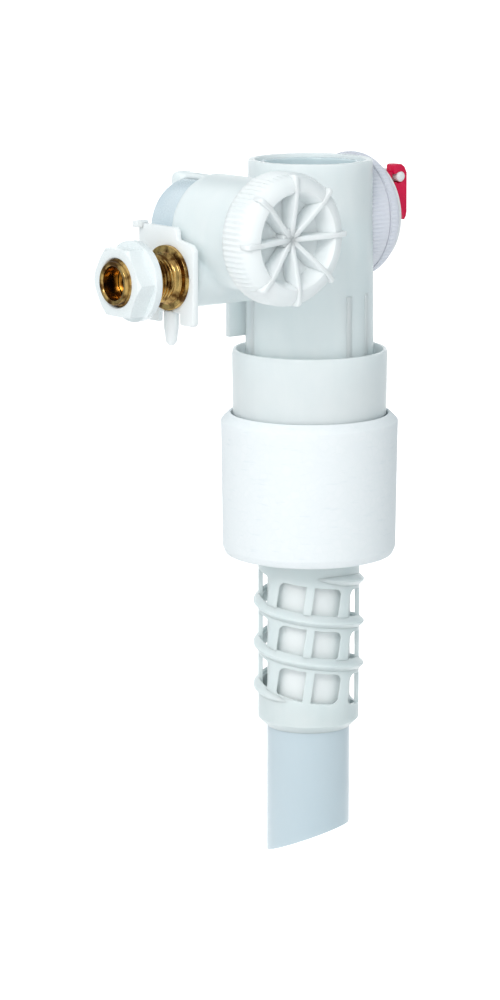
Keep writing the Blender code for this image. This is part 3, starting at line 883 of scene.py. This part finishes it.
def sweep():
    """White paper under the valve that curves up behind it; its glow fades to the front and sides."""
    floor_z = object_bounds()[0].z - 0.12
    flat_end = 0.3
    bend = 0.25
    profile = [(-0.9, floor_z), (flat_end, floor_z)]
    profile += [(flat_end + bend * math.sin(turn), floor_z + bend * (1 - math.cos(turn)))
                for turn in (math.pi / 2 * step / 12 for step in range(1, 13))]
    profile.append((flat_end + bend, floor_z + 0.6))
    centre = Vector((BARREL.x, BARREL.y, 0)) * MM
    sheet = bmesh.new()
    rows = [[sheet.verts.new(centre - NEAR * away + RIGHT * side + Vector((0, 0, height)))
             for side in (-0.9, 0.9)] for away, height in profile]
    for front, back in zip(rows, rows[1:]):
        sheet.faces.new((front[0], front[1], back[1], back[0]))
    paper = as_object("floor_paper", sheet)
    paper.data.shade_smooth()
    white = Finish("white_paper", Roughness=0.9, Specular_IOR_Level=0.0, Emission_Strength=0.9)
    spot = white.node("VectorMath", {"operation": "SUBTRACT"}, {0: white.where, 1: centre})
    ahead = white.node("VectorMath", {"operation": "DOT_PRODUCT"}, {0: spot, 1: NEAR}, "Value")
    across = white.node("VectorMath", {"operation": "DOT_PRODUCT"}, {0: spot, 1: RIGHT}, "Value")
    fade = white.remap(ahead, -0.14, 0.1) + white.remap(across * across, 0.04, 0.1)
    glow = white.mix(fade, tone(1, 1, 1), tone(0.4, 0.42, 0.43))
    white.feed(white.shader.inputs["Emission Color"], glow)
    sheen = white.mix(white.noise(0.4), tone(0.5, 0.5, 0.5), tone(0.52, 0.52, 0.52))
    paper.data.materials.append(white.surface(sheen))


def studio():
    """A room that is bright in front and to the left and dim to the right, with a soft key light."""
    world = bpy.data.worlds.new("soft_room")
    bpy.context.scene.world = world
    world.use_nodes = True
    room = Graph(world.node_tree)
    bright_side = (NEAR * 0.9 - RIGHT * 0.25 + Vector((0, 0, 0.3))).normalized()
    facing = room.node("VectorMath", {"operation": "DOT_PRODUCT"},
                       {0: room.node("TexCoord", output="Generated"), 1: bright_side}, "Value")
    colour = room.mix(room.remap(facing, -0.35, 1.0), tone(0.16, 0.235, 0.265), tone(1.04, 1.05, 1.05))
    room.feed(world.node_tree.nodes["Background"].inputs["Color"], colour)
    aim = Vector((BARREL.x, BARREL.y, -60)) * MM
    for name, side, rise, near, size, power in (("key", -0.3, 0.75, 1.0, 0.4, 4.8),
                                                ("edge", -0.6, 0.9, -0.5, 0.5, 0.8)):
        light = bpy.data.lights.new(name, "AREA")
        light.size = size
        light.energy = power
        lamp = bpy.data.objects.new(name, light)
        bpy.context.scene.collection.objects.link(lamp)
        lamp.location = aim + RIGHT * side + NEAR * near + Vector((0, 0, rise))
        lamp.rotation_euler = (aim - lamp.location).to_track_quat("-Z", "Y").to_euler()


EYE_DISTANCE = 1.17                           # from the barrel's mouth to the camera
EYE_LEFT, EYE_DOWN = 0.0214, 0.1210


def camera():
    """Set by the barrel's mouth, which sits high and right of the frame's middle."""
    back = NEAR * math.cos(TILT) + Vector((0, 0, math.sin(TILT)))
    up = back.cross(RIGHT)
    mouth = Vector((BARREL.x, BARREL.y, BARREL_TOP)) * MM
    lens = bpy.data.cameras.new("view")
    lens.sensor_fit = "VERTICAL"
    lens.sensor_height = 36
    lens.lens = 118.8
    eye = bpy.data.objects.new("view", lens)
    bpy.context.scene.collection.objects.link(eye)
    turn = Matrix((RIGHT, up, back)).transposed().to_4x4()
    spot = mouth - RIGHT * EYE_LEFT - up * EYE_DOWN + back * EYE_DISTANCE
    eye.matrix_world = Matrix.Translation(spot) @ turn
    bpy.context.scene.camera = eye
    bpy.context.scene.view_settings.view_transform = "Standard"


barrel()
barrel_ribs()
housing()
rear_arm()
rim()
back_plug()
outlet()
nipple()
nut()
nipple_plate()
front_cap()
rear_ring()
rear_plug()
lever()
cup()
foam_float()
cage()
cage_ridge()
inner_pieces()
sweep()
studio()
camera()
